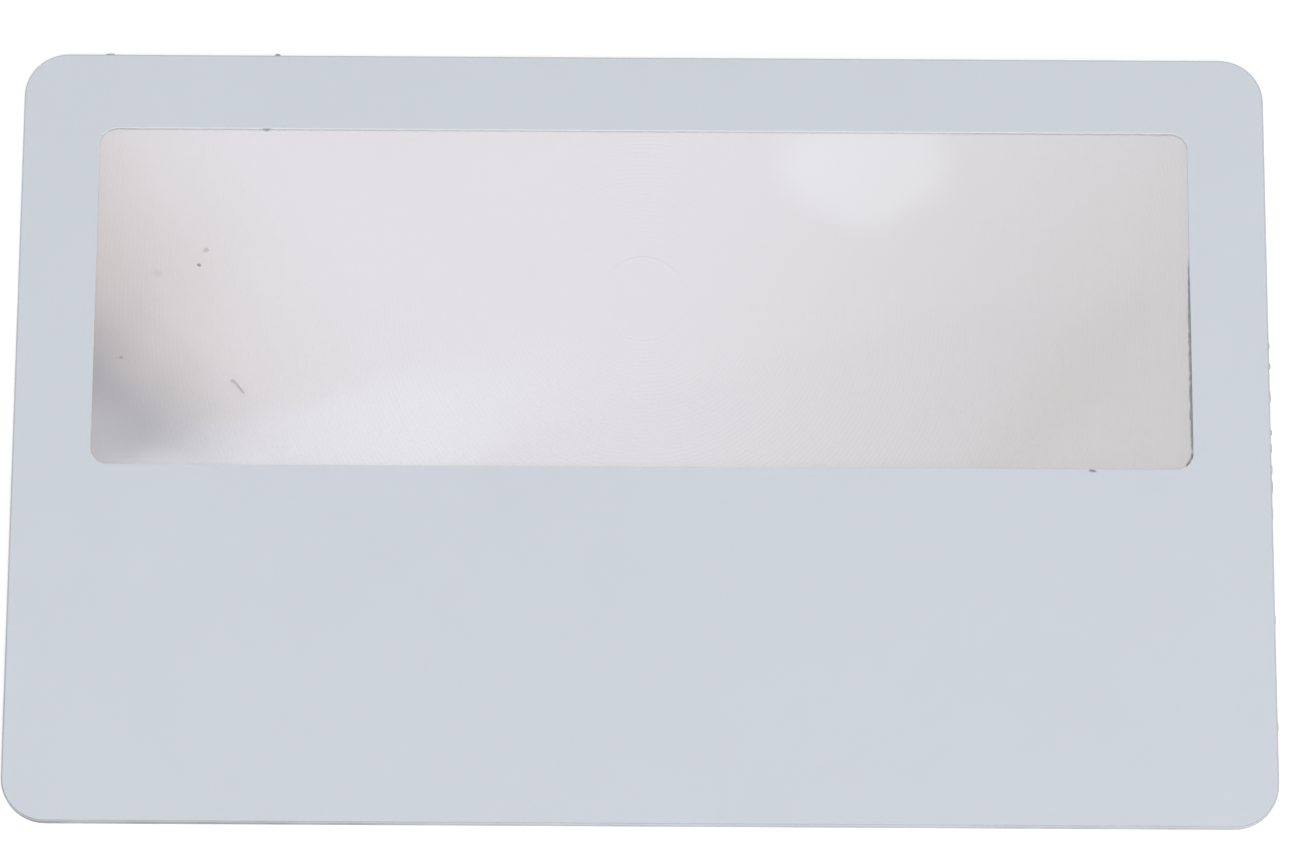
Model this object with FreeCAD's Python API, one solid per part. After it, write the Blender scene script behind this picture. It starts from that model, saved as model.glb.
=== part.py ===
"""Pocket magnifier in the shape of a bank card, in millimetres.

A clear ring-grooved sheet lens drops into a pocket in a white spacer sheet. A white frame sheet with a wide
window closes the pocket from the front and another from the back, each held by a thin bond film and covered
by a clear overlay film. The stack is pressed flat and punched out, which rolls its edges a little.

The card lies on its back: +Z is towards the reader, +X along the long side and +Y towards the window's side.
The origin is under the middle of the card, on the back face.
"""
import FreeCAD, Part
import math
import os

# Card outline
card_length = 85.6
card_width = 54.0
card_corner_radius = 3.0

# Thickness of each sheet, the same on the front and on the back
overlay_thickness = 0.04
frame_thickness = 0.18
bond_thickness = 0.03
spacer_thickness = 0.30

# Window in both frames, nearer to one long side, and the bars of card beside and above it
window_width = 24.0
window_corner_radius = 1.2
window_side_margin = 5.3
window_top_margin = 5.3

# Edges rolled by the punch on the front, and barely broken on the back
front_roll_radius = 0.15
window_roll_radius = 0.08
back_edge_radius = 0.05

# Lens sheet, as thick as the spacer, with a flat rim under the frames, and its pocket
lens_rim = 1.5
lens_corner_radius = 2.0
pocket_clearance = 0.15

# Lens surface: a shallow dome in the middle, and rings about it, moulded in the back of the sheet
focal_length = 150.0
refractive_index = 1.53
dome_radius = 3.0
groove_pitch = 0.3
groove_draft_deg = 4.0
ridge_recess = 0.02

# How far a cutting tool runs past what it cuts
overrun = 1.0

# Heights of the faces between the sheets, from the back up
rear_overlay_top = overlay_thickness
rear_frame_top = rear_overlay_top + frame_thickness
rear_bond_top = rear_frame_top + bond_thickness
spacer_top = rear_bond_top + spacer_thickness
front_bond_top = spacer_top + bond_thickness
front_frame_top = front_bond_top + frame_thickness
card_thickness = front_frame_top + overlay_thickness

window_length = card_length - 2 * window_side_margin
window_centre_y = card_width / 2 - window_top_margin - window_width / 2
lens_length = window_length + 2 * lens_rim
lens_width = window_width + 2 * lens_rim


def rounded_prism(length, width, radius, centre_y, bottom, top):
    """An upright block with rounded corners, its middle at x = 0 and y = centre_y."""
    across = length / 2 - radius
    along = width / 2 - radius
    corners = (
        (across, centre_y + along, 0),
        (-across, centre_y + along, 90),
        (-across, centre_y - along, 180),
        (across, centre_y - along, 270),
    )
    arcs = []
    for x, y, start_deg in corners:
        circle = Part.Circle(FreeCAD.Vector(x, y, bottom), FreeCAD.Vector(0, 0, 1), radius)
        arcs.append(circle.toShape(math.radians(start_deg), math.radians(start_deg + 90)))
    edges = []
    for arc, following in zip(arcs, arcs[1:] + arcs[:1]):
        edges.append(arc)
        side = Part.LineSegment(arc.lastVertex().Point, following.firstVertex().Point)
        edges.append(side.toShape())
    return Part.Face(Part.Wire(edges)).extrude(FreeCAD.Vector(0, 0, top - bottom))


def window_prism(bottom, top):
    """The space of the window between two heights."""
    return rounded_prism(
        window_length, window_width, window_corner_radius, window_centre_y, bottom, top
    )


def punched_blank():
    """The whole stack with its window and its rolled edges. Each sheet is a slice of it."""
    block = rounded_prism(card_length, card_width, card_corner_radius, 0, 0, card_thickness)
    block = block.cut(window_prism(-overrun, card_thickness + overrun))
    front = max(block.Faces, key=lambda face: face.CenterOfMass.z)
    window_wires = [wire for wire in front.Wires if not wire.isSame(front.OuterWire)]
    block = block.makeFillet(window_roll_radius, window_wires[0].Edges)
    front = max(block.Faces, key=lambda face: face.CenterOfMass.z)
    block = block.makeFillet(front_roll_radius, front.OuterWire.Edges)
    back = min(block.Faces, key=lambda face: face.CenterOfMass.z)
    return block.makeFillet(back_edge_radius, back.OuterWire.Edges)


def sheet(blank, bottom, top):
    """The slice of the blank between two heights."""
    length = card_length + 2 * overrun
    width = card_width + 2 * overrun
    corner = FreeCAD.Vector(-length / 2, -width / 2, bottom)
    return blank.common(Part.makeBox(length, width, top - bottom, corner))


def spacer_frame(blank):
    """The white middle sheet, with a pocket a little larger than the lens."""
    pocket = rounded_prism(
        lens_length + 2 * pocket_clearance,
        lens_width + 2 * pocket_clearance,
        lens_corner_radius + pocket_clearance,
        window_centre_y,
        rear_bond_top - overrun,
        spacer_top + overrun,
    )
    return sheet(blank, rear_bond_top, spacer_top).cut(pocket)


def facet_slope(radius):
    """Slope of the lens surface that bends light from a point at the focus straight, at this radius."""
    return radius / (refractive_index * math.hypot(radius, focal_length) - focal_length)


def groove_cutter():
    """What the mould's dome and rings leave free below the lens, cut to the window."""
    ridge = rear_bond_top + ridge_recess
    dome_curve_radius = focal_length * (refractive_index - 1)
    draft = math.tan(math.radians(groove_draft_deg))
    reach = math.hypot(window_length, window_width) / 2
    ring_count = math.ceil((reach - dome_radius) / groove_pitch)

    def at(radius, height):
        return FreeCAD.Vector(radius, window_centre_y, height)

    def on_dome(radius):
        return at(radius, ridge + dome_curve_radius - math.sqrt(dome_curve_radius**2 - radius**2))

    edges = [Part.Arc(at(0, ridge), on_dome(dome_radius / 2), on_dome(dome_radius)).toShape()]
    points = [on_dome(dome_radius), at(dome_radius, ridge)]
    for ring in range(ring_count):
        inner = dome_radius + ring * groove_pitch
        outer = inner + groove_pitch
        slope = facet_slope((inner + outer) / 2)
        depth = groove_pitch * slope / (1 + slope * draft)
        points.append(at(outer - depth * draft, ridge + depth))
        points.append(at(outer, ridge))
    points.append(at(outer, rear_bond_top - overrun))
    points.append(at(0, rear_bond_top - overrun))
    points.append(at(0, ridge))
    for start, end in zip(points, points[1:]):
        edges.append(Part.LineSegment(start, end).toShape())
    profile = Part.Face(Part.Wire(edges))
    rings = profile.revolve(at(0, 0), FreeCAD.Vector(0, 0, 1), 360)
    return rings.common(window_prism(rear_bond_top - overrun, spacer_top))


def fresnel_lens():
    """The clear sheet, flat on the reader's side and grooved behind, inside a flat rim."""
    blank = rounded_prism(
        lens_length, lens_width, lens_corner_radius, window_centre_y, rear_bond_top, spacer_top
    )
    return blank.cut(groove_cutter())


def build():
    """Writes one solid for each sheet of the card."""
    blank = punched_blank()
    pieces = {
        "rear_overlay_film": sheet(blank, 0, rear_overlay_top),
        "rear_frame": sheet(blank, rear_overlay_top, rear_frame_top),
        "rear_bond_film": sheet(blank, rear_frame_top, rear_bond_top),
        "spacer_frame": spacer_frame(blank),
        "fresnel_lens": fresnel_lens(),
        "front_bond_film": sheet(blank, spacer_top, front_bond_top),
        "front_frame": sheet(blank, front_bond_top, front_frame_top),
        "front_overlay_film": sheet(blank, front_frame_top, card_thickness),
    }
    os.makedirs("parts", exist_ok=True)
    for name, shape in pieces.items():
        shape.exportStep("parts/" + name + ".step")
        print(name, "solids", len(shape.Solids), "valid", shape.isValid(), "mm3", round(shape.Volume, 2))


build()
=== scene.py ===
"""Looks of the card magnifier, sheet by sheet from the back to the front, and the soft studio around it."""
import math

import bpy
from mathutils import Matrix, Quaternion, Vector


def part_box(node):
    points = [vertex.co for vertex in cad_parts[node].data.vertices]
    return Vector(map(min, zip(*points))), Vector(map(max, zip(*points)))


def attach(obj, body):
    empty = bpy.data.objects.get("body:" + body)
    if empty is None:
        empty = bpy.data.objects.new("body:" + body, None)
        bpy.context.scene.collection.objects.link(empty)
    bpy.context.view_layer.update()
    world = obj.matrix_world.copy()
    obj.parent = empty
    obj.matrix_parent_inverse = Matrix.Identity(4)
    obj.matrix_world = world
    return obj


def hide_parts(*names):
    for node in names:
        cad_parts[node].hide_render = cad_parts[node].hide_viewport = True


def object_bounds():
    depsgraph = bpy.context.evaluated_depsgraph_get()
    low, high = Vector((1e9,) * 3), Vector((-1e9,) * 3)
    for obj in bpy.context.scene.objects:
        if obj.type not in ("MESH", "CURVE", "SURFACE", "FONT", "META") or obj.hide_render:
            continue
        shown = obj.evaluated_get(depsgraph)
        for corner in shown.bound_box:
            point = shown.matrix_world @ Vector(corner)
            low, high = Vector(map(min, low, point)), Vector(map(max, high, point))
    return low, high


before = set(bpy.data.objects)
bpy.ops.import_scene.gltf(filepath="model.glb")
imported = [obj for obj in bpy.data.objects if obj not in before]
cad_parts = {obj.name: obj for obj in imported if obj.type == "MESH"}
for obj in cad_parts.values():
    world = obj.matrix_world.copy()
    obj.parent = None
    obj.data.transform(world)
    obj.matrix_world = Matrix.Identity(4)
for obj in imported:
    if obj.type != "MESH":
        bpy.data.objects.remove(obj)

cad_low, cad_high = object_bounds()
mm = 0.001

# Rear overlay film: clear rigid PVC, fused over the back sheet in a heated press whose plates leave a fine
# satin grain. It is punched out in one stroke with the sheets, so its outline and its window are theirs, and
# the punch leaves its lower edge barely broken.
card_length = cad_high.x - cad_low.x
card_width = cad_high.y - cad_low.y
card_corner_radius = 3.0 * mm
lens_rim = 1.5 * mm
lens_low, lens_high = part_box("fresnel_lens")
window_length = lens_high.x - lens_low.x - 2 * lens_rim
window_width = lens_high.y - lens_low.y - 2 * lens_rim
window_corner_radius = 1.2 * mm
window_centre_y = (lens_high.y + lens_low.y) / 2
back_edge_radius = 0.05 * mm
corner_steps = 28
roll_steps = 5
flat_margin = 0.06 * mm
film_air_gap = 0.002 * mm
smooth_up_to = math.radians(30)

# The film is clear with a trace of haze, and smears make its satin gloss uneven.
film_tint = (0.985, 0.988, 0.992, 1)
film_index = 1.5
film_roughness = (0.27, 0.36)
film_grain_size = 0.12 * mm
film_grain_height = 0.0012 * mm
smear_size = 9 * mm
satin_limit = 0.35
haze_white = (0.86, 0.88, 0.9, 1)
haze_share = 0.04
press_unevenness = 0.6

# Painted shade greys the card's outside in uneven patches, and most near its lower left corner. The band is
# where most of a mottle's values lie.
edge_shade_grey = (0.3, 0.31, 0.325, 1)
outer_band = 2.8 * mm
shade_patch_size = 4 * mm
least_patch_shade = 0.7
shaded_corner = (-card_length / 2, -card_width / 2, 0)
corner_shade_within = 14 * mm
corner_shade_ends = 36 * mm
least_corner_shade = 0.6
most_edge_shade = 0.9
rolled_past = 0.9
mottle_band = (0.3, 0.7)


def outline(length, width, corner_radius, centre_y, inset, height):
    """A level rounded rectangle, anticlockwise, drawn in on all sides by inset."""
    across = length / 2 - corner_radius
    along = width / 2 - corner_radius
    reach = corner_radius - inset
    points = []
    for quarter, (side_x, side_y) in enumerate(((1, 1), (-1, 1), (-1, -1), (1, -1))):
        centre = Vector((side_x * across, centre_y + side_y * along, height))
        for step in range(corner_steps + 1):
            angle = (quarter + step / corner_steps) * math.pi / 2
            points.append(centre + reach * Vector((math.cos(angle), math.sin(angle), 0)))
    return points


def rolled(roll_radius, depth):
    """The rolled edge from the pressed face down to a depth: pairs of depth and how far it is drawn in."""
    if roll_radius == 0:
        return [(0, 0), (depth, 0)]
    last_angle = math.asin((roll_radius - depth) / roll_radius)
    pairs = []
    for step in range(roll_steps + 1):
        angle = math.pi / 2 + (last_angle - math.pi / 2) * step / roll_steps
        pairs.append((roll_radius * (1 - math.sin(angle)), roll_radius * (1 - math.cos(angle))))
    return pairs


def closed_band(name, loops):
    """A solid whose skin runs through the loops one after another and back to the first."""
    count = len(loops[0])
    faces = []
    for loop in range(len(loops)):
        low = loop * count
        high = (loop + 1) % len(loops) * count
        for here in range(count):
            after = (here + 1) % count
            faces.append((low + here, low + after, high + after, high + here))
    mesh = bpy.data.meshes.new(name)
    mesh.from_pydata([point for loop in loops for point in loop], [], faces)
    mesh.shade_smooth()
    mesh.set_sharp_from_angle(angle=smooth_up_to)
    made = bpy.data.objects.new(name, mesh)
    bpy.context.scene.collection.objects.link(made)
    return made


def overlay_film(name, pressed_height, inwards, thickness, card_roll, window_roll):
    """The film between the pressed face and a hair above the sheet that it is fused to."""
    depth = thickness - film_air_gap

    def card_loop(inset, deep):
        height = pressed_height + inwards * deep
        return outline(card_length, card_width, card_corner_radius, 0, inset, height)

    def window_loop(inset, deep):
        height = pressed_height + inwards * deep
        return outline(window_length, window_width, window_corner_radius, window_centre_y, -inset, height)

    card_loops = [card_loop(inset, deep) for deep, inset in rolled(card_roll, depth)]
    card_loops.insert(0, card_loop(card_roll + flat_margin, 0))
    window_loops = [window_loop(inset, deep) for deep, inset in rolled(window_roll, depth)]
    window_loops.insert(0, window_loop(window_roll + flat_margin, 0))
    if inwards < 0:
        return closed_band(name, card_loops[::-1] + window_loops)
    return closed_band(name, card_loops + window_loops[::-1])


def add(tree, kind, inputs=None, **settings):
    """One node with its settings. Each input is another node's output or a plain value."""
    made = tree.nodes.new(kind)
    for name, value in settings.items():
        setattr(made, name, value)
    for name, value in (inputs or {}).items():
        if isinstance(value, bpy.types.NodeSocket):
            tree.links.new(value, made.inputs[name])
        else:
            made.inputs[name].default_value = value
    return made


class Figure:
    """A number worked out by nodes, so that a formula in a tree reads as one."""

    def __init__(self, tree, socket):
        self.tree = tree
        self.socket = socket

    def worked(self, operation, *values):
        """What an operation makes of these values, each of them a Figure or a plain number."""
        inputs = {}
        for place, value in enumerate(values):
            inputs[place] = value.socket if isinstance(value, Figure) else value
        return Figure(self.tree, add(self.tree, "ShaderNodeMath", inputs, operation=operation).outputs[0])

    def __add__(self, other):
        return self.worked("ADD", self, other)

    def __radd__(self, other):
        return self.worked("ADD", other, self)

    def __sub__(self, other):
        return self.worked("SUBTRACT", self, other)

    def __rsub__(self, other):
        return self.worked("SUBTRACT", other, self)

    def __mul__(self, other):
        return self.worked("MULTIPLY", self, other)

    def __rmul__(self, other):
        return self.worked("MULTIPLY", other, self)

    def __truediv__(self, other):
        return self.worked("DIVIDE", self, other)

    def __rtruediv__(self, other):
        return self.worked("DIVIDE", other, self)

    def root(self):
        return self.worked("SQRT", self)

    def whole(self):
        return self.worked("FLOOR", self)

    def unsigned(self):
        return self.worked("ABSOLUTE", self)

    def at_most(self, limit):
        return self.worked("MINIMUM", self, limit)

    def at_least(self, limit):
        return self.worked("MAXIMUM", self, limit)

    def is_above(self, limit):
        return self.worked("GREATER_THAN", self, limit)

    def or_else(self, other, past, limit):
        """This number, or the other one where past is more than limit."""
        return self + past.is_above(limit) * (other - self)


def mottle(tree, place, grain_size, detail):
    """Cloudy noise with grains of this size: its outputs, of which Fac is the plain one."""
    return add(
        tree, "ShaderNodeTexNoise", {"Vector": place, "Scale": 1 / grain_size, "Detail": detail}
    ).outputs


def ranged(tree, value, low, high, start=0.0, end=1.0):
    """Carries a value from the range start to end over to the range low to high, and holds it there."""
    return add(
        tree,
        "ShaderNodeMapRange",
        {"Value": value, "From Min": start, "From Max": end, "To Min": low, "To Max": high},
    ).outputs["Result"]


def overlaid(tree, share, under, over):
    """The surface under, which gives way to the one over it as far as the share says."""
    return add(tree, "ShaderNodeMixShader", {"Fac": share, 1: under, 2: over}).outputs[0]


def empty_finish(name):
    """A new material, its nodes cleared away, with the place on the object that its patterns are read at."""
    finish = bpy.data.materials.new(name)
    finish.use_nodes = True
    finish.node_tree.nodes.clear()
    place = add(finish.node_tree, "ShaderNodeTexCoord").outputs["Object"]
    return finish, finish.node_tree, place


def press_grain(tree, place, grain_size, height):
    """The fine pebbling that the satin press plates leave, as a normal."""
    fine = add(
        tree,
        "ShaderNodeTexNoise",
        {"Vector": place, "Scale": 1 / grain_size, "Detail": 3.0, "Roughness": press_unevenness},
    )
    return add(
        tree,
        "ShaderNodeBump",
        {"Height": fine.outputs["Fac"], "Strength": 1.0, "Distance": height},
    ).outputs["Normal"]


def painted_edge_shade(tree, place):
    """How much painted shade greys an edge: nothing in the window, and unevenly round the card's outside."""
    band_start = (card_length / 2 - outer_band, card_width / 2 - outer_band, 0)
    far = add(tree, "ShaderNodeVectorMath", {0: place}, operation="ABSOLUTE").outputs[0]
    past = add(tree, "ShaderNodeVectorMath", {0: far, 1: band_start}, operation="SUBTRACT").outputs[0]
    apart = add(tree, "ShaderNodeSeparateXYZ", {0: past}).outputs
    is_outside = Figure(tree, apart["X"]).at_least(Figure(tree, apart["Y"])).is_above(0.0)
    shade_patches = mottle(tree, place, shade_patch_size, 3.0)["Fac"]
    patchy_shade = Figure(tree, ranged(tree, shade_patches, least_patch_shade, 1.0, *mottle_band))
    away = add(tree, "ShaderNodeVectorMath", {0: place, 1: shaded_corner}, operation="DISTANCE")
    near = ranged(tree, away.outputs["Value"], 1.0, least_corner_shade, corner_shade_within, corner_shade_ends)
    return (is_outside * (patchy_shade * Figure(tree, near))).socket


def levelness(tree):
    """How level a face lies: 1 flat on the card, and 0 on an upright wall."""
    facing = add(tree, "ShaderNodeTexCoord").outputs["Normal"]
    return Figure(tree, add(tree, "ShaderNodeSeparateXYZ", {0: facing}).outputs["Z"]).unsigned().socket


def satin_film(name):
    """Clear film over white: it lets the sheet show, adds soft gloss, a trace of haze and painted edge
    shade.
    """
    finish, tree, place = empty_finish(name)
    smears = mottle(tree, place, smear_size, 5.0)["Fac"]
    sheen = add(
        tree,
        "ShaderNodeBsdfGlossy",
        {
            "Color": (1, 1, 1, 1),
            "Roughness": ranged(tree, smears, *film_roughness),
            "Normal": press_grain(tree, place, film_grain_size, film_grain_height),
        },
    ).outputs[0]
    clear = add(tree, "ShaderNodeBsdfTransparent", {"Color": film_tint}).outputs[0]
    haze = add(tree, "ShaderNodeBsdfDiffuse", {"Color": haze_white}).outputs[0]
    veil = overlaid(tree, haze_share, clear, haze)
    # Painted shade: the film greys where it rolls over the card's outside edges.
    roll = ranged(tree, levelness(tree), 0.0, most_edge_shade, 1.0, rolled_past)
    edge_shade_share = (Figure(tree, painted_edge_shade(tree, place)) * Figure(tree, roll)).socket
    edge_shade = add(tree, "ShaderNodeBsdfDiffuse", {"Color": edge_shade_grey}).outputs[0]
    edge_shaded = overlaid(tree, edge_shade_share, veil, edge_shade)
    clean_share = Figure(tree, add(tree, "ShaderNodeFresnel", {"IOR": film_index}).outputs[0])
    outer = overlaid(tree, clean_share.at_most(satin_limit).socket, edge_shaded, sheen)
    inner = add(tree, "ShaderNodeBsdfTransparent").outputs[0]
    side = add(tree, "ShaderNodeNewGeometry").outputs["Backfacing"]
    add(tree, "ShaderNodeOutputMaterial", {"Surface": overlaid(tree, side, outer, inner)})
    return finish


film_finish = satin_film("clear_satin_film")
rear_film_low, rear_film_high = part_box("rear_overlay_film")
rear_film = overlay_film(
    "pressed_rear_film", rear_film_low.z, 1, rear_film_high.z - rear_film_low.z, back_edge_radius, 0
)
rear_film.data.materials.append(film_finish)
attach(rear_film, "root")
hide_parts("rear_overlay_film")


# Rear frame: white rigid PVC sheet, a little blue, with the window punched in it. Its face has faint cloudy
# patches and flecks from calendering. The punch leaves fine upright scores on its cut walls. The walls carry
# painted light, a paler white than the face, and painted shade greys them round the outside.
frame_white = (0.632, 0.666, 0.715)
cloud_size = 7 * mm
cloud_depth = 0.015
fleck_grey = (0.5, 0.52, 0.54, 1)
fleck_size = 0.25 * mm
fleck_band = (0.62, 0.8)
most_fleck = 0.06
# Painted light: the paler white of the cut walls.
painted_light_wall_white = (0.84, 0.865, 0.89, 1)
wall_band = (0.75, 0.3)
score_size = 0.05 * mm
score_flattening = 0.06
score_tone = 0.9
face_roughness = 0.48
wall_roughness = 0.7
wall_gloss = 0.25
sheet_grain_size = 0.2 * mm
sheet_grain_height = 0.001 * mm


def blended(tree, share, first, second, way="MIX"):
    """The first colour, which gives way to the second as far as the share says, or is multiplied by it."""
    return add(
        tree,
        "ShaderNodeMix",
        {"Factor": share, 6: first, 7: second},
        data_type="RGBA",
        blend_type=way,
    ).outputs[2]


def plastic(tree, looks):
    """Gives a material one plastic surface with these looks."""
    surface = add(tree, "ShaderNodeBsdfPrincipled", looks)
    add(tree, "ShaderNodeOutputMaterial", {"Surface": surface.outputs[0]})


def white_sheet(name, tint):
    """Satin white sheet, with scored cut walls that carry painted light, and painted shade round the
    outside.
    """
    finish, tree, place = empty_finish(name)
    clouds = mottle(tree, place, cloud_size, 4.0)["Fac"]
    darker = [channel * (1 - cloud_depth) for channel in tint]
    paler = [channel * (1 + cloud_depth) for channel in tint]
    cloudy = blended(tree, clouds, (*darker, 1), (*paler, 1))
    flecks = mottle(tree, place, fleck_size, 2.0)["Fac"]
    flecked = blended(tree, ranged(tree, flecks, 0.0, most_fleck, *fleck_band), cloudy, fleck_grey)
    wall = ranged(tree, levelness(tree), 0.0, 1.0, *wall_band)
    upright = add(tree, "ShaderNodeMapping", {"Vector": place, "Scale": (1, 1, score_flattening)})
    scores = mottle(tree, upright.outputs[0], score_size, 3.0)["Fac"]
    # Painted light makes the cut walls paler than the face; painted shade greys them round the card's
    # outside.
    cut = blended(tree, painted_edge_shade(tree, place), painted_light_wall_white, edge_shade_grey)
    scored = add(
        tree,
        "ShaderNodeVectorMath",
        {0: cut, "Scale": ranged(tree, scores, score_tone, 1.0, *mottle_band)},
        operation="SCALE",
    )
    plastic(
        tree,
        {
            "Base Color": blended(tree, wall, flecked, scored.outputs[0]),
            "Roughness": ranged(tree, wall, face_roughness, wall_roughness),
            "Specular IOR Level": ranged(tree, wall, 0.0, wall_gloss),
            "Normal": press_grain(tree, place, sheet_grain_size, sheet_grain_height),
        },
    )
    return finish


frame_finish = white_sheet("white_satin_sheet", frame_white)
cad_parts["rear_frame"].material_slots[0].material = frame_finish


# Rear bond film: a thin sheet of hot-melt adhesive that joins the rear frame to the spacer and to the lens's
# rim. Only its cut edge shows, as a fine line glossier than the sheets beside it, greyed by painted shade.
bond_dark = (0.86, 0.87, 0.86, 1)
bond_pale = (0.94, 0.945, 0.93, 1)
bond_index = 1.48
bond_roughness = (0.2, 0.4)
bond_streak_size = 1.5 * mm
bond_grain_size = 0.1 * mm
bond_grain_height = 0.002 * mm


def adhesive(name):
    """Set adhesive: milky, slightly yellow, with soft uneven gloss, and painted shade on the card's outside.
    """
    finish, tree, place = empty_finish(name)
    streaks = mottle(tree, place, bond_streak_size, 4.0)["Fac"]
    milky = blended(tree, streaks, bond_dark, bond_pale)
    plastic(
        tree,
        {
            "Base Color": blended(tree, painted_edge_shade(tree, place), milky, edge_shade_grey),
            "Roughness": ranged(tree, streaks, *bond_roughness),
            "IOR": bond_index,
            "Normal": press_grain(tree, place, bond_grain_size, bond_grain_height),
        },
    )
    return finish


adhesive_finish = adhesive("set_adhesive")
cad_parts["rear_bond_film"].material_slots[0].material = adhesive_finish

# Spacer frame: white rigid PVC core sheet as thick as the lens, with a pocket that the lens drops into. Core
# stock is a plainer, slightly warmer white than the face sheets, and only its cut edge shows.
core_white = (0.64, 0.66, 0.69)
core_finish = white_sheet("white_core_sheet", core_white)
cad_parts["spacer_frame"].material_slots[0].material = core_finish

# Lens: clear rigid PVC, hot-pressed against a mould that is turned like a record. It is flat towards the
# reader and ringed behind: a shallow dome in the middle, then facets that steepen outwards. A plain rim all
# round is held between the two bond films.
lens_corner_radius = 2.0 * mm
focal_length = 150.0 * mm
refractive_index = 1.53
dome_radius = 3.0 * mm
groove_pitch = 0.3 * mm
groove_draft_deg = 4.0
ridge_recess = 0.02 * mm
lens_clearance = 0.002 * mm
mould_overrun = 1.0 * mm
dome_steps = 12
turn_steps = 360
lens_corner_steps = 16
merge_distance = 0.00005 * mm
lens_tint_dark = (0.804, 0.786, 0.817, 1)
lens_tint_pale = (0.818, 0.8, 0.832, 1)
lens_roughness = (0.03, 0.07)
lens_clearness = 0.93
drift_size = 8 * mm
stir_reach = 3.0 * mm
mid_tone = (0.5, 0.5, 0.5)

# Soft oval patches of painted shade and painted reflection in the clear sheet's tint, and one smudge. Each
# has its middle and its reach in mm, how far it is turned in degrees, how soft it is, and the tone that it
# multiplies the tint by.
painted_light_and_smudge_patches = {
    "painted shade at the left end": ((-60, 18.5), (58.6, 27.8), -38, 1.0, (0.656, 0.572, 0.526)),
    "darker painted shade streak at the left": ((-41.2, 4.1), (21.2, 9.2), -25, 1.0, (0.672, 0.714, 0.755)),
    "painted shade at the right end": ((66.4, -16.1), (81, 79), -7, 0.68, (0.819, 0.808, 0.79)),
    "painted reflection at the top": ((15.3, 19.6), (7.8, 6), -3, 0.62, (1.064, 1.079, 1.079)),
    "painted reflection streak low on the left": ((-45.4, -12.3), (48.2, 7.4), 23, 0.33, (1.03, 1.05, 1.063)),
    "painted shade streak low in the middle": ((-1.1, -6.2), (45.5, 9.4), 21, 0.3, (0.979, 0.983, 0.983)),
    "thumb smudge": ((-33.7, 11.3), (0.7, 0.5), -20, 1.0, (0.93, 0.93, 0.93)),
    "painted shade streak right of the left end": ((-32.1, -0.1), (20, 5), -64, 0.86, (0.901, 0.909, 0.92)),
    "painted shade streak below the left end": ((-45, -5.3), (17.5, 4.5), 26, 0.58, (0.808, 0.828, 0.835)),
    "painted reflection in the crescent": ((-36.2, -2.5), (20, 7.1), -21, 1.0, (1.29, 1.287, 1.3)),
    "painted reflection above the crescent": ((-33.3, 4.2), (7.2, 3.4), -47, 0.94, (1.125, 1.11, 1.077)),
    "painted shade streak at the right": ((27.3, 1.9), (19.2, 3.8), 52, 0.92, (0.981, 0.975, 0.964)),
}


def new_recipe(name, lengths, counts=()):
    """A geometry tree with named inputs, and each input by its name."""
    tree = bpy.data.node_groups.new(name, "GeometryNodeTree")
    tree.is_modifier = True
    tree.interface.new_socket("Result", in_out="OUTPUT", socket_type="NodeSocketGeometry")
    tree.interface.new_socket("Start", in_out="INPUT", socket_type="NodeSocketGeometry")
    for length in lengths:
        tree.interface.new_socket(length, in_out="INPUT", socket_type="NodeSocketFloat")
    for count in counts:
        tree.interface.new_socket(count, in_out="INPUT", socket_type="NodeSocketInt")
    tree.interface.new_socket("Material", in_out="INPUT", socket_type="NodeSocketMaterial")
    given = tree.nodes.new("NodeGroupInput").outputs
    return tree, given


def end_recipe(tree, given, result):
    """Makes the result real, gives it its material and shades it smooth up to its sharp edges."""
    real = add(tree, "GeometryNodeRealizeInstances", {"Geometry": result})
    smooth = add(tree, "GeometryNodeSetShadeSmooth", {"Geometry": real.outputs[0], "Shade Smooth": True})
    bend = add(tree, "GeometryNodeInputMeshEdgeAngle").outputs["Unsigned Angle"]
    is_sharp = add(tree, "FunctionNodeCompare", {0: bend, 1: smooth_up_to}, operation="GREATER_THAN")
    edged = add(
        tree,
        "GeometryNodeSetShadeSmooth",
        {"Geometry": smooth.outputs[0], "Selection": is_sharp.outputs[0], "Shade Smooth": False},
        domain="EDGE",
    )
    dressed = add(
        tree, "GeometryNodeSetMaterial", {"Geometry": edged.outputs[0], "Material": given["Material"]}
    )
    add(tree, "NodeGroupOutput", {0: dressed.outputs[0]})


def made_from(name, tree, sizes, start=None):
    """Runs a recipe once and keeps what it makes as a plain mesh."""
    blank = bpy.data.objects.new(name, start or bpy.data.meshes.new(name))
    bpy.context.scene.collection.objects.link(blank)
    recipe = blank.modifiers.new(name, "NODES")
    recipe.node_group = tree
    for socket in tree.interface.items_tree:
        if socket.in_out == "INPUT" and socket.name in sizes:
            recipe[socket.identifier] = sizes[socket.name]
    shown = blank.evaluated_get(bpy.context.evaluated_depsgraph_get())
    mesh = bpy.data.meshes.new_from_object(shown)
    bpy.data.objects.remove(blank)
    mesh.name = name
    if mesh.materials[0] is None:
        mesh.materials.pop(index=0)
    made = bpy.data.objects.new(name, mesh)
    bpy.context.scene.collection.objects.link(made)
    return made


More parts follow.
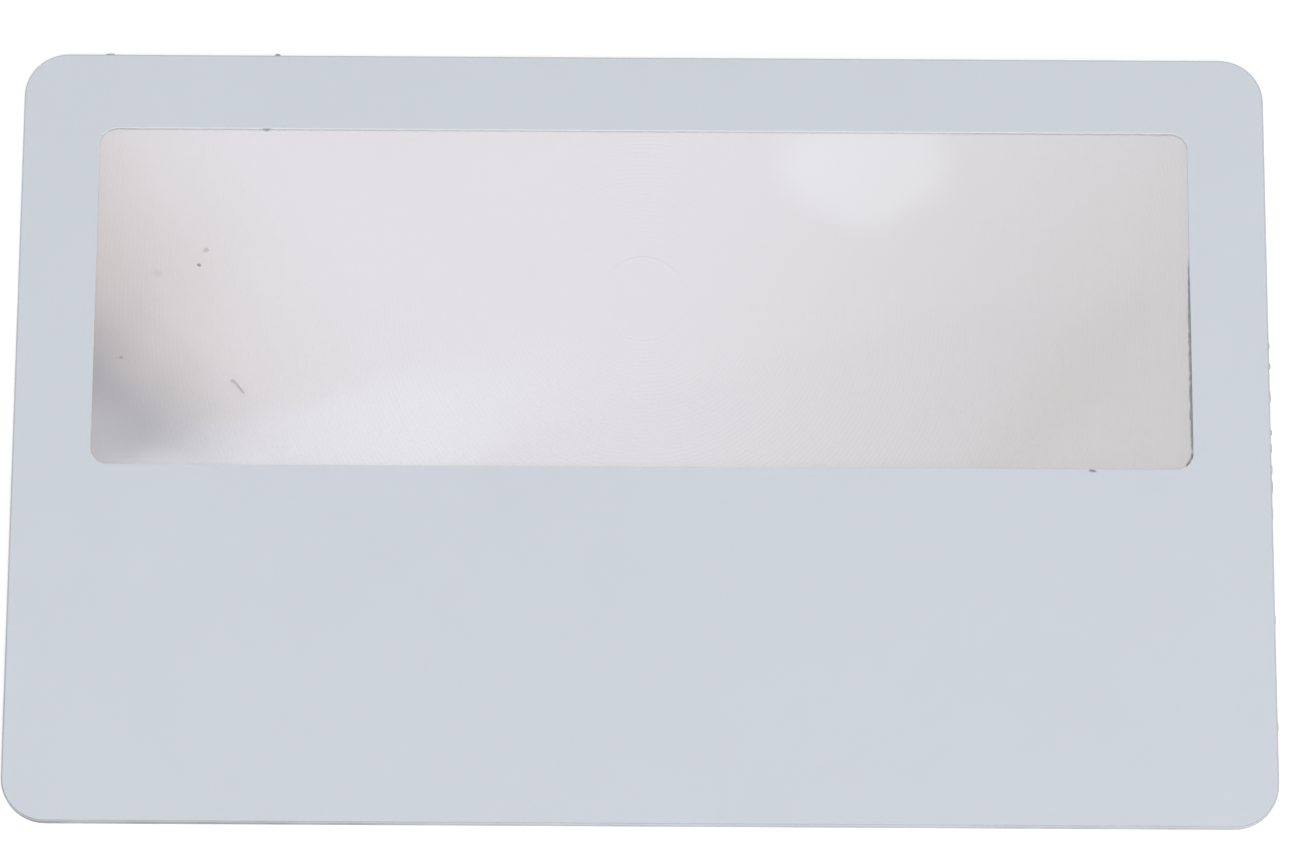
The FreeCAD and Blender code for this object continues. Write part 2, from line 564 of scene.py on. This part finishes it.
def rounded_block(tree, length, width, corner_radius, steps, centre_y, low, high):
    """An upright block with rounded corners between two heights."""
    corners = add(tree, "GeometryNodeCurvePrimitiveQuadrilateral", {"Width": length, "Height": width})
    rounded = add(
        tree,
        "GeometryNodeFilletCurve",
        {"Curve": corners.outputs[0], "Radius": corner_radius, "Count": steps},
        mode="POLY",
    )
    foot = add(tree, "ShaderNodeCombineXYZ", {"Y": centre_y, "Z": low})
    head = add(tree, "ShaderNodeCombineXYZ", {"Y": centre_y, "Z": high})
    post = add(tree, "GeometryNodeCurvePrimitiveLine", {"Start": foot.outputs[0], "End": head.outputs[0]})
    return add(
        tree,
        "GeometryNodeCurveToMesh",
        {"Curve": post.outputs[0], "Profile Curve": rounded.outputs[0], "Fill Caps": True},
    ).outputs[0]


def ring_lens_recipe():
    """The pressed sheet: a blank, less what the mould's dome and rings leave free below the window."""
    tree, given = new_recipe(
        "ring_lens",
        (
            "Lens Length", "Lens Width", "Lens Corner", "Window Length", "Window Width", "Window Corner",
            "Centre Y", "Low", "High", "Ridge", "Mould Low", "Dome Radius", "Pitch", "Draft", "Focal Length",
            "Refractive Index", "Merge Distance",
        ),
        ("Rings", "Dome Steps", "Turn Steps", "Corner Steps"),
    )

    def size(name):
        return Figure(tree, given[name])

    # A lattice becomes the mould: its columns are stations along half a section, and its rows go round.
    station_count = size("Dome Steps") + 2 * size("Rings") + 4
    lattice = add(
        tree,
        "GeometryNodeMeshGrid",
        {
            "Size X": (station_count - 1).socket,
            "Size Y": 1.0,
            "Vertices X": station_count.socket,
            "Vertices Y": (size("Turn Steps") + 1).socket,
        },
    )
    here = add(tree, "ShaderNodeSeparateXYZ", {0: add(tree, "GeometryNodeInputPosition").outputs[0]}).outputs
    station = (Figure(tree, here["X"]) + (station_count - 1) / 2 + 0.5).whole()
    turn = (Figure(tree, here["Y"]) + 0.5) * math.tau
    past_dome = size("Dome Steps") + 0.5
    past_rings = station_count - 2.5

    dome_reach = size("Dome Radius") * station / size("Dome Steps")
    dome_curve = size("Focal Length") * (size("Refractive Index") - 1)
    dome_height = size("Ridge") + dome_curve - (dome_curve * dome_curve - dome_reach * dome_reach).root()

    groove_point = station - size("Dome Steps") - 1
    ring = (groove_point / 2).whole()
    at_valley = groove_point - 2 * ring
    outer = size("Dome Radius") + (ring + at_valley) * size("Pitch")
    middle = outer - size("Pitch") / 2
    light_path = (middle * middle + size("Focal Length") * size("Focal Length")).root()
    slope = middle / (size("Refractive Index") * light_path - size("Focal Length"))
    depth = at_valley * size("Pitch") * slope / (1 + slope * size("Draft"))
    groove_reach = outer - depth * size("Draft")
    groove_height = size("Ridge") + depth

    last_reach = size("Dome Radius") + size("Rings") * size("Pitch")
    closing_reach = last_reach * (station_count - 1 - station)
    reach = dome_reach.or_else(groove_reach, station, past_dome)
    reach = reach.or_else(closing_reach, station, past_rings)
    height = dome_height.or_else(groove_height, station, past_dome)
    height = height.or_else(size("Mould Low"), station, past_rings)

    spot = add(
        tree,
        "ShaderNodeCombineXYZ",
        {
            "X": (reach * turn.worked("COSINE", turn)).socket,
            "Y": (size("Centre Y") + reach * turn.worked("SINE", turn)).socket,
            "Z": height.socket,
        },
    )
    turned = add(
        tree,
        "GeometryNodeSetPosition",
        {"Geometry": lattice.outputs["Mesh"], "Position": spot.outputs[0]},
    )
    mould = add(
        tree,
        "GeometryNodeMergeByDistance",
        {"Geometry": turned.outputs[0], "Distance": given["Merge Distance"]},
    )
    blank = rounded_block(
        tree, given["Lens Length"], given["Lens Width"], given["Lens Corner"], given["Corner Steps"],
        given["Centre Y"], given["Low"], given["High"],
    )
    opening = rounded_block(
        tree, given["Window Length"], given["Window Width"], given["Window Corner"], given["Corner Steps"],
        given["Centre Y"], given["Mould Low"], given["High"],
    )
    trimmed = add(tree, "GeometryNodeMeshBoolean", operation="INTERSECT", solver="MANIFOLD")
    tree.links.new(mould.outputs[0], trimmed.inputs["Mesh 2"])
    tree.links.new(opening, trimmed.inputs["Mesh 2"])
    pressed = add(
        tree,
        "GeometryNodeMeshBoolean",
        {"Mesh 1": blank, "Mesh 2": trimmed.outputs["Mesh"]},
        operation="DIFFERENCE",
        solver="MANIFOLD",
    )
    end_recipe(tree, given, pressed.outputs["Mesh"])
    return tree


def oval_patch(tree, place, label, centre, reach, turn_deg, softness):
    """A soft-edged oval patch: 1 in its middle and 0 past its reach."""
    centred = add(
        tree,
        "ShaderNodeMapping",
        {
            "Vector": place,
            "Location": (centre[0] * mm, centre[1] * mm, 0),
            "Rotation": (0, 0, math.radians(turn_deg)),
            "Scale": (reach[0] * mm, reach[1] * mm, 1),
        },
        vector_type="TEXTURE",
        label=label,
    )
    ball = add(tree, "ShaderNodeTexGradient", {"Vector": centred.outputs[0]}, gradient_type="SPHERICAL")
    return add(
        tree,
        "ShaderNodeMapRange",
        {"Value": ball.outputs["Fac"], "From Min": 0.0, "From Max": softness},
        interpolation_type="SMOOTHERSTEP",
    ).outputs["Result"]


def clear_sheet(name):
    """Polished clear sheet, with painted shade at its lower left and painted light and shade in drifting
    patches.
    """
    finish, tree, place = empty_finish(name)
    drift = mottle(tree, place, drift_size, 2.0)
    shift = add(tree, "ShaderNodeVectorMath", {0: drift["Color"], 1: mid_tone}, operation="SUBTRACT")
    stirred = add(
        tree,
        "ShaderNodeVectorMath",
        {0: shift.outputs[0], 1: (stir_reach, stir_reach, 0), 2: place},
        operation="MULTIPLY_ADD",
    ).outputs[0]
    colour = blended(tree, drift["Fac"], lens_tint_dark, lens_tint_pale)
    # Painted shade and painted reflections: each listed patch multiplies the sheet's tint.
    for label, (centre, reach, turn_deg, softness, tone) in painted_light_and_smudge_patches.items():
        share = oval_patch(tree, stirred, label, centre, reach, turn_deg, softness)
        colour = blended(tree, share, colour, (*tone, 1), "MULTIPLY")
    clear = add(
        tree,
        "ShaderNodeBsdfPrincipled",
        {
            "Base Color": colour,
            "Roughness": ranged(tree, drift["Fac"], *lens_roughness),
            "IOR": refractive_index,
            "Transmission Weight": lens_clearness,
        },
    ).outputs[0]

    # The light that falls on what lies behind goes straight through.
    lit_through = add(tree, "ShaderNodeBsdfTransparent").outputs[0]
    rays = add(tree, "ShaderNodeLightPath").outputs
    seen = overlaid(tree, rays["Is Diffuse Ray"], clear, lit_through)
    seen_or_lit = overlaid(tree, rays["Is Shadow Ray"], seen, lit_through)
    add(tree, "ShaderNodeOutputMaterial", {"Surface": seen_or_lit})
    return finish


lens_finish = clear_sheet("clear_polished_sheet")
corner_reach = math.hypot(window_length, window_width) / 2
ring_lens = made_from(
    "ring_lens",
    ring_lens_recipe(),
    {
        "Lens Length": lens_high.x - lens_low.x,
        "Lens Width": lens_high.y - lens_low.y,
        "Lens Corner": lens_corner_radius,
        "Window Length": window_length,
        "Window Width": window_width,
        "Window Corner": window_corner_radius,
        "Centre Y": window_centre_y,
        "Low": lens_low.z + lens_clearance,
        "High": lens_high.z - lens_clearance,
        "Ridge": lens_low.z + ridge_recess,
        "Mould Low": lens_low.z - mould_overrun,
        "Dome Radius": dome_radius,
        "Pitch": groove_pitch,
        "Draft": math.tan(math.radians(groove_draft_deg)),
        "Focal Length": focal_length,
        "Refractive Index": refractive_index,
        "Merge Distance": merge_distance,
        "Rings": math.ceil((corner_reach - dome_radius) / groove_pitch),
        "Dome Steps": dome_steps,
        "Turn Steps": turn_steps,
        "Corner Steps": lens_corner_steps,
        "Material": lens_finish,
    },
)
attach(ring_lens, "root")
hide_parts("fresnel_lens")

# Front bond film: the same adhesive between the spacer and the front frame. It grips the lens's rim, and its
# edge shows as a fine line on the card's side and at the foot of the window's walls.
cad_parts["front_bond_film"].material_slots[0].material = adhesive_finish

# Front frame: the same white sheet as the rear frame. The punch came from this side, so its outer edge and
# the window's rim are drawn down and rolled.
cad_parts["front_frame"].material_slots[0].material = frame_finish

# Front overlay film: the same clear satin film as on the back, over the face that the reader holds. It
# follows the rolled edges and gives them a soft bright line.
front_roll_radius = 0.15 * mm
window_roll_radius = 0.08 * mm
front_film_low, front_film_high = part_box("front_overlay_film")
front_film = overlay_film(
    "pressed_front_film",
    front_film_high.z,
    -1,
    front_film_high.z - front_film_low.z,
    front_roll_radius,
    window_roll_radius,
)
front_film.data.materials.append(film_finish)
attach(front_film, "root")
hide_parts("front_overlay_film")

# Punch burrs: small torn tongues of the white sheet that a worn punch leaves on the cut edges. Most are on
# the right edge, two are on the top edge, one is on the bottom edge, and one hangs into the window from its
# top rim. Their grey is painted shade.
burr_height = 0.62 * mm
burr_half_thickness = 0.05 * mm
burr_jag = 0.02 * mm
burr_jag_size = 0.12 * mm
burr_seed = 3
upward_share = 0.3
grain_share = 0.25
# Painted shade: the darkest grey the burrs are drawn with.
burr_painted_shade = (0.2, 0.215, 0.23, 1)
torn_pale = (0.6, 0.63, 0.67, 1)
torn_roughness = (0.6, 0.8)
torn_gloss = 0.25
torn_grain_size = 0.05 * mm
torn_grain_height = 0.004 * mm
torn_mottle_size = 0.09 * mm

# For each burr: its place in mm, which way its edge runs in degrees, its half length, how far it stands out,
# and its shade from 0, dark, to 1, pale.
burr_places = (
    (42.8, 6.5, 90, 0.26, 0.05, 0.0),
    (42.8, 5.07, 90, 0.24, 0.1, 0.8),
    (42.8, 2.91, 90, 0.45, 0.06, 0.7),
    (42.8, 0.37, 90, 0.22, 0.09, 0.5),
    (42.8, -0.72, 90, 0.36, 0.06, 0.6),
    (42.8, -2.24, 90, 0.4, 0.06, 0.6),
    (42.8, -3.43, 90, 0.5, 0.06, 0.5),
    (42.8, -5.32, 90, 0.45, 0.04, 0.8),
    (42.8, -12.7, 90, 0.4, 0.04, 0.9),
    (42.8, -20.1, 90, 0.35, 0.05, 0.9),
    (-36.96, 27, 0, 0.34, 0.1, 0.4),
    (-25.38, 27, 0, 0.2, 0.15, 0.2),
    (-38.18, -27, 0, 0.22, 0.09, 0.5),
    (-26.03, 21.7, 0, 0.26, 0.18, 0.3),
)
chip_marks = (("turn", math.radians(1)), ("half_length", mm), ("reach", mm), ("shade", 1))


def chips_recipe():
    """Flat rough chips on marked points, each as long, as broad and as turned as its point says."""
    tree, given = new_recipe("rough_chips", ("Half Thickness", "Jag", "Jag Size"), ("Seed",))

    def mark(name):
        read = add(tree, "GeometryNodeInputNamedAttribute", {"Name": name}, data_type="FLOAT")
        return read.outputs["Attribute"]

    ball = add(tree, "GeometryNodeMeshIcoSphere", {"Radius": 1.0, "Subdivisions": 4}).outputs["Mesh"]
    size = add(
        tree,
        "ShaderNodeCombineXYZ",
        {"X": mark("half_length"), "Y": mark("reach"), "Z": given["Half Thickness"]},
    )
    turn = add(tree, "ShaderNodeCombineXYZ", {"Z": mark("turn")})
    placed = add(
        tree,
        "GeometryNodeInstanceOnPoints",
        {"Points": given["Start"], "Instance": ball, "Rotation": turn.outputs[0], "Scale": size.outputs[0]},
    )
    real = add(tree, "GeometryNodeRealizeInstances", {"Geometry": placed.outputs[0]})
    end_recipe(tree, given, ragged(tree, given, real.outputs[0]))
    return tree


def ragged(tree, given, smooth):
    """Pushes each point of a surface a little to one side, as torn or piled stuff is."""
    here = add(tree, "GeometryNodeInputPosition").outputs[0]
    closeness = 1 / Figure(tree, given["Jag Size"])
    lumps = add(
        tree,
        "ShaderNodeTexNoise",
        {"Vector": here, "W": given["Seed"], "Scale": closeness.socket, "Detail": 3.0},
        noise_dimensions="4D",
    ).outputs["Color"]
    about = add(tree, "ShaderNodeVectorMath", {0: lumps, 1: mid_tone}, operation="SUBTRACT")
    sideways = 2 * Figure(tree, given["Jag"])
    most = add(
        tree,
        "ShaderNodeCombineXYZ",
        {"X": sideways.socket, "Y": sideways.socket, "Z": (sideways * upward_share).socket},
    )
    push = add(
        tree, "ShaderNodeVectorMath", {0: about.outputs[0], 1: most.outputs[0]}, operation="MULTIPLY"
    )
    return add(tree, "GeometryNodeSetPosition", {"Geometry": smooth, "Offset": push.outputs[0]}).outputs[0]


def marked_points(name, places, height):
    """Points at one height with the marks that the chips are made from."""
    points = bpy.data.meshes.new(name)
    points.from_pydata([(x * mm, y * mm, height) for x, y, *_ in places], [], [])
    for column, (mark, unit) in enumerate(chip_marks, 2):
        marks = points.attributes.new(mark, "FLOAT", "POINT")
        marks.data.foreach_set("value", [place[column] * unit for place in places])
    return points


def chip_shade(tree, grains):
    """Each chip's own shade, with a share of it from its grains."""
    shade = Figure(tree, add(tree, "ShaderNodeAttribute", attribute_name="shade").outputs["Fac"])
    return ((1 - grain_share) * shade + grain_share * Figure(tree, grains)).socket


def torn_sheet(name):
    """Torn white sheet: dull grey from painted shade, and rough."""
    finish, tree, place = empty_finish(name)
    torn_mottle = mottle(tree, place, torn_mottle_size, 4.0)["Fac"]
    plastic(
        tree,
        {
            "Base Color": blended(tree, chip_shade(tree, torn_mottle), burr_painted_shade, torn_pale),
            "Roughness": ranged(tree, torn_mottle, *torn_roughness),
            "Specular IOR Level": torn_gloss,
            "Normal": press_grain(tree, place, torn_grain_size, torn_grain_height),
        },
    )
    return finish


chips = chips_recipe()
edge_burrs = made_from(
    "edge_burrs",
    chips,
    {
        "Half Thickness": burr_half_thickness,
        "Jag": burr_jag,
        "Jag Size": burr_jag_size,
        "Seed": burr_seed,
        "Material": torn_sheet("torn_white_sheet"),
    },
    marked_points("burr_places", burr_places, burr_height),
)
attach(edge_burrs, "root")

# Seam bead: a dark ragged bead that lies in the seam where the lens meets the window's right wall and
# round the lower corner, thin at the top and thicker downwards. The same dark bead fills a short nick in the
# window's lower rim.
seam_dark = (0.16, 0.175, 0.18)
seam_pale = (0.46, 0.47, 0.475)
seam_grain_size = 0.18 * mm
lens_face_height = lens_high.z - lens_clearance
seam_gap = 0.08
seam_x = window_length / 2 / mm - seam_gap
seam_points = [(seam_x, 12.8), (seam_x, 8.0), (seam_x, 3.5), (seam_x, -0.9)]
seam_points += [(seam_x - 0.13, -1.55), (seam_x - 0.42, -1.98)]
nick_sink = 0.01 * mm
nick_height = cad_high.z - nick_sink
nick_points = [(30.35, -2.36), (30.6, -2.4), (30.88, -2.47)]
dull_roughness = (0.75, 0.95)
dull_gloss = 0.15
thread_sides = 10
thread_lift = 0.8
swell_widths = 3


def thread_recipe():
    """A flattened ragged thread that lies on a level face along drawn points."""
    tree, given = new_recipe(
        "ragged_thread",
        ("Width", "Height", "Foot", "Step", "Taper In", "Taper Out", "Unevenness", "Jag", "Jag Size"),
        ("Seed",),
    )

    def size(name):
        return Figure(tree, given[name])

    drawn = add(tree, "GeometryNodeMeshToCurve", {"Mesh": given["Start"]})
    flowing = add(
        tree, "GeometryNodeCurveSplineType", {"Curve": drawn.outputs[0]}, spline_type="CATMULL_ROM"
    )
    stepped = add(
        tree,
        "GeometryNodeResampleCurve",
        {"Curve": flowing.outputs[0], "Length": given["Step"]},
        mode="LENGTH",
    )
    along = Figure(tree, add(tree, "GeometryNodeSplineParameter").outputs["Factor"])
    rise = (along / size("Taper In")).at_most(1.0)
    fall = ((1 - along) / size("Taper Out")).at_most(1.0)
    here = add(tree, "GeometryNodeInputPosition").outputs[0]
    closeness = 1 / (swell_widths * size("Width"))
    swell = add(
        tree,
        "ShaderNodeTexNoise",
        {"Vector": here, "W": given["Seed"], "Scale": closeness.socket, "Detail": 2.0},
        noise_dimensions="4D",
    )
    swelling = 1 + 2 * size("Unevenness") * (Figure(tree, swell.outputs["Fac"]) - 0.5)
    thickness = size("Width") / 2 * (rise * fall).root() * swelling
    lift = add(tree, "ShaderNodeCombineXYZ", {"Z": (thread_lift * thickness).socket})
    resting = add(
        tree, "GeometryNodeSetPosition", {"Geometry": stepped.outputs[0], "Offset": lift.outputs[0]}
    )
    ring = add(tree, "GeometryNodeCurvePrimitiveCircle", {"Resolution": thread_sides, "Radius": 1.0})
    tube = add(
        tree,
        "GeometryNodeCurveToMesh",
        {
            "Curve": resting.outputs[0],
            "Profile Curve": ring.outputs["Curve"],
            "Scale": thickness.socket,
            "Fill Caps": True,
        },
    )
    rough = ragged(tree, given, tube.outputs[0])
    spot = add(tree, "ShaderNodeSeparateXYZ", {0: here}).outputs
    flat_z = size("Foot") + (Figure(tree, spot["Z"]) - size("Foot")) * size("Height") / size("Width")
    flat = add(tree, "ShaderNodeCombineXYZ", {"X": spot["X"], "Y": spot["Y"], "Z": flat_z.socket})
    pressed = add(tree, "GeometryNodeSetPosition", {"Geometry": rough, "Position": flat.outputs[0]})
    end_recipe(tree, given, pressed.outputs[0])
    return tree


def drawn_line(name, run, height):
    """Loose edges through a run of points in mm, all at one height."""
    points = [(x * mm, y * mm, height) for x, y in run]
    edges = [(step, step + 1) for step in range(len(run) - 1)]
    line = bpy.data.meshes.new(name)
    line.from_pydata(points, edges, [])
    return line


def dull_matter(name, dark, pale, grain_size, own_shades=False):
    """Dull matter, darker and paler from grain to grain, or from chip to chip."""
    finish, tree, place = empty_finish(name)
    grains = mottle(tree, place, grain_size, 4.0)["Fac"]
    shade = chip_shade(tree, grains) if own_shades else grains
    plastic(
        tree,
        {
            "Base Color": blended(tree, shade, (*dark, 1), (*pale, 1)),
            "Roughness": ranged(tree, grains, *dull_roughness),
            "Specular IOR Level": dull_gloss,
            "Normal": press_grain(tree, place, grain_size / 3, grain_size / 12),
        },
    )
    return finish


threads = thread_recipe()
dark_bead_finish = dull_matter("dark_seam_bead", seam_dark, seam_pale, seam_grain_size)
seam_bead = made_from(
    "seam_bead",
    threads,
    {
        "Width": 0.19 * mm,
        "Height": 0.09 * mm,
        "Foot": lens_face_height,
        "Step": 0.05 * mm,
        "Taper In": 0.45,
        "Taper Out": 0.02,
        "Unevenness": 1.9,
        "Jag": 0.045 * mm,
        "Jag Size": 0.1 * mm,
        "Seed": 5,
        "Material": dark_bead_finish,
    },
    drawn_line("seam_line", seam_points, lens_face_height),
)
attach(seam_bead, "root")
nick_bead = made_from(
    "nick_bead",
    threads,
    {
        "Width": 0.16 * mm,
        "Height": 0.03 * mm,
        "Foot": nick_height,
        "Step": 0.03 * mm,
        "Taper In": 0.3,
        "Taper Out": 0.4,
        "Unevenness": 0.5,
        "Jag": 0.012 * mm,
        "Jag Size": 0.08 * mm,
        "Seed": 8,
        "Material": dark_bead_finish,
    },
    drawn_line("nick_line", nick_points, nick_height),
)
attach(nick_bead, "root")

# Lint and dust: one short grey fibre and three specks of dust, a pale one and two dark ones, that have
# settled on the lens at the left. They only lie there.
lint_dark = (0.41, 0.36, 0.375)
lint_pale = (0.66, 0.59, 0.61)
lint_grain_size = 0.1 * mm
fibre_points = [(-28.04, 3.7), (-27.72, 3.44), (-27.4, 3.05), (-27.14, 2.76)]
fibre = made_from(
    "lint_fibre",
    threads,
    {
        "Width": 0.17 * mm,
        "Height": 0.08 * mm,
        "Foot": lens_face_height,
        "Step": 0.04 * mm,
        "Taper In": 0.06,
        "Taper Out": 0.1,
        "Unevenness": 0.45,
        "Jag": 0.01 * mm,
        "Jag Size": 0.1 * mm,
        "Seed": 2,
        "Material": dull_matter("grey_lint", lint_dark, lint_pale, lint_grain_size),
    },
    drawn_line("fibre_line", fibre_points, lens_face_height),
)
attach(fibre, "root")

# For each speck: its place in mm, its turn in degrees, its half length, its half width and its shade.
speck_places = (
    (-29.99, 12.94, 30, 0.2, 0.16, 0.7),
    (-30.45, 11.87, -40, 0.15, 0.11, 0.1),
    (-35.59, 5.26, 10, 0.12, 0.08, 0.0),
)
dust_dark = (0.26, 0.255, 0.255)
dust_pale = (0.72, 0.705, 0.7)
dust_grain_size = 0.22 * mm
speck_lift = 0.01 * mm
dust_specks = made_from(
    "dust_specks",
    chips,
    {
        "Half Thickness": 0.012 * mm,
        "Jag": 0.06 * mm,
        "Jag Size": 0.12 * mm,
        "Seed": 11,
        "Material": dull_matter("settled_dust", dust_dark, dust_pale, dust_grain_size, own_shades=True),
    },
    marked_points("speck_places", speck_places, lens_face_height + speck_lift),
)
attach(dust_specks, "root")

# Floor: a plain pale sweep under the card, which keeps the card's own shadow. The eye and gloss see it
# white, and most of what the lens shows of it is one even white.
floor_size = 3.0
floor_drop = 0.01 * mm
floor_pale = (0.8, 0.8, 0.8, 1)
floor_lift = 0.4
lens_white = 0.887
lens_white_share = 0.9
pure_white = (1, 1, 1, 1)


def sight(tree):
    """Whether a ray is the eye's, gloss's or the lens's own, and whether it is the lens's."""
    rays = add(tree, "ShaderNodeLightPath").outputs
    by_eye_or_gloss = Figure(tree, rays["Is Camera Ray"]).at_least(Figure(tree, rays["Is Glossy Ray"]))
    by_lens = Figure(tree, rays["Is Transmission Ray"])
    return by_eye_or_gloss.at_least(by_lens), by_lens


bpy.ops.mesh.primitive_plane_add(size=floor_size, location=(0, 0, -floor_drop))
floor = bpy.context.object
floor.name = "floor"
floor_finish, floor_tree, _ = empty_finish("pale_floor")
floor_seen, floor_seen_by_lens = sight(floor_tree)
matt = add(floor_tree, "ShaderNodeBsdfDiffuse", {"Color": floor_pale})
lifted = add(
    floor_tree, "ShaderNodeEmission", {"Color": pure_white, "Strength": (floor_seen * floor_lift).socket}
)
pale = add(floor_tree, "ShaderNodeAddShader", {0: matt.outputs[0], 1: lifted.outputs[0]}).outputs[0]
even = add(floor_tree, "ShaderNodeEmission", {"Color": pure_white, "Strength": lens_white}).outputs[0]
floor_surface = overlaid(floor_tree, (floor_seen_by_lens * lens_white_share).socket, pale, even)
add(floor_tree, "ShaderNodeOutputMaterial", {"Surface": floor_surface})
floor.data.materials.append(floor_finish)

# World: an even white room, which gives the card most of its light. It shows plain white to the eye, in
# gloss and through the lens, and what falls on the card is held lower.
room_fill = 0.76
room = bpy.data.worlds.new("white_room")
room.use_nodes = True
room.node_tree.nodes.clear()
bpy.context.scene.world = room
room_seen, _ = sight(room.node_tree)
room_light = add(
    room.node_tree,
    "ShaderNodeBackground",
    {"Color": pure_white, "Strength": (room_fill + room_seen * (1 - room_fill)).socket},
)
add(room.node_tree, "ShaderNodeOutputWorld", {"Surface": room_light.outputs[0]})

# Softbox: one wide lamp, high in front of the lower long edge and a little to the right. It makes up the
# rest of the light, and neither gloss nor the lens shows it.
softbox_light = bpy.data.lights.new("softbox", "AREA")
softbox_light.shape = "SQUARE"
softbox_light.size = 0.5
softbox_light.energy = 1.42
softbox = bpy.data.objects.new("softbox", softbox_light)
softbox.location = (0.12, -0.36, 0.46)
softbox.rotation_mode = "QUATERNION"
softbox.rotation_quaternion = (-softbox.location).to_track_quat("-Z", "Y")
softbox.visible_glossy = False
softbox.visible_transmission = False
bpy.context.scene.collection.objects.link(softbox)

# Camera: a long lens above the card and in front of its lower long edge, turned a little and not shifted.
# Its place, its aim and its turn were fitted to the card's edges in the photograph.
camera_place = Vector((-0.08, -100.02, 375.37)) * mm
camera_target = Vector((0.40, 0.84, 0.8)) * mm
camera_turn = math.radians(0.59)
camera_data = bpy.data.cameras.new("camera")
camera_data.lens = 158.33
camera_data.sensor_width = 36.0
camera = bpy.data.objects.new("camera", camera_data)
camera.location = camera_place
camera.rotation_mode = "QUATERNION"
level_look = (camera_target - camera_place).to_track_quat("-Z", "Y")
camera.rotation_quaternion = level_look @ Quaternion((0, 0, 1), camera_turn)
bpy.context.scene.collection.objects.link(camera)
bpy.context.scene.camera = camera
bpy.context.scene.view_settings.view_transform = "Standard"

# Brings the evaluated scene up to date.
bpy.context.view_layer.update()
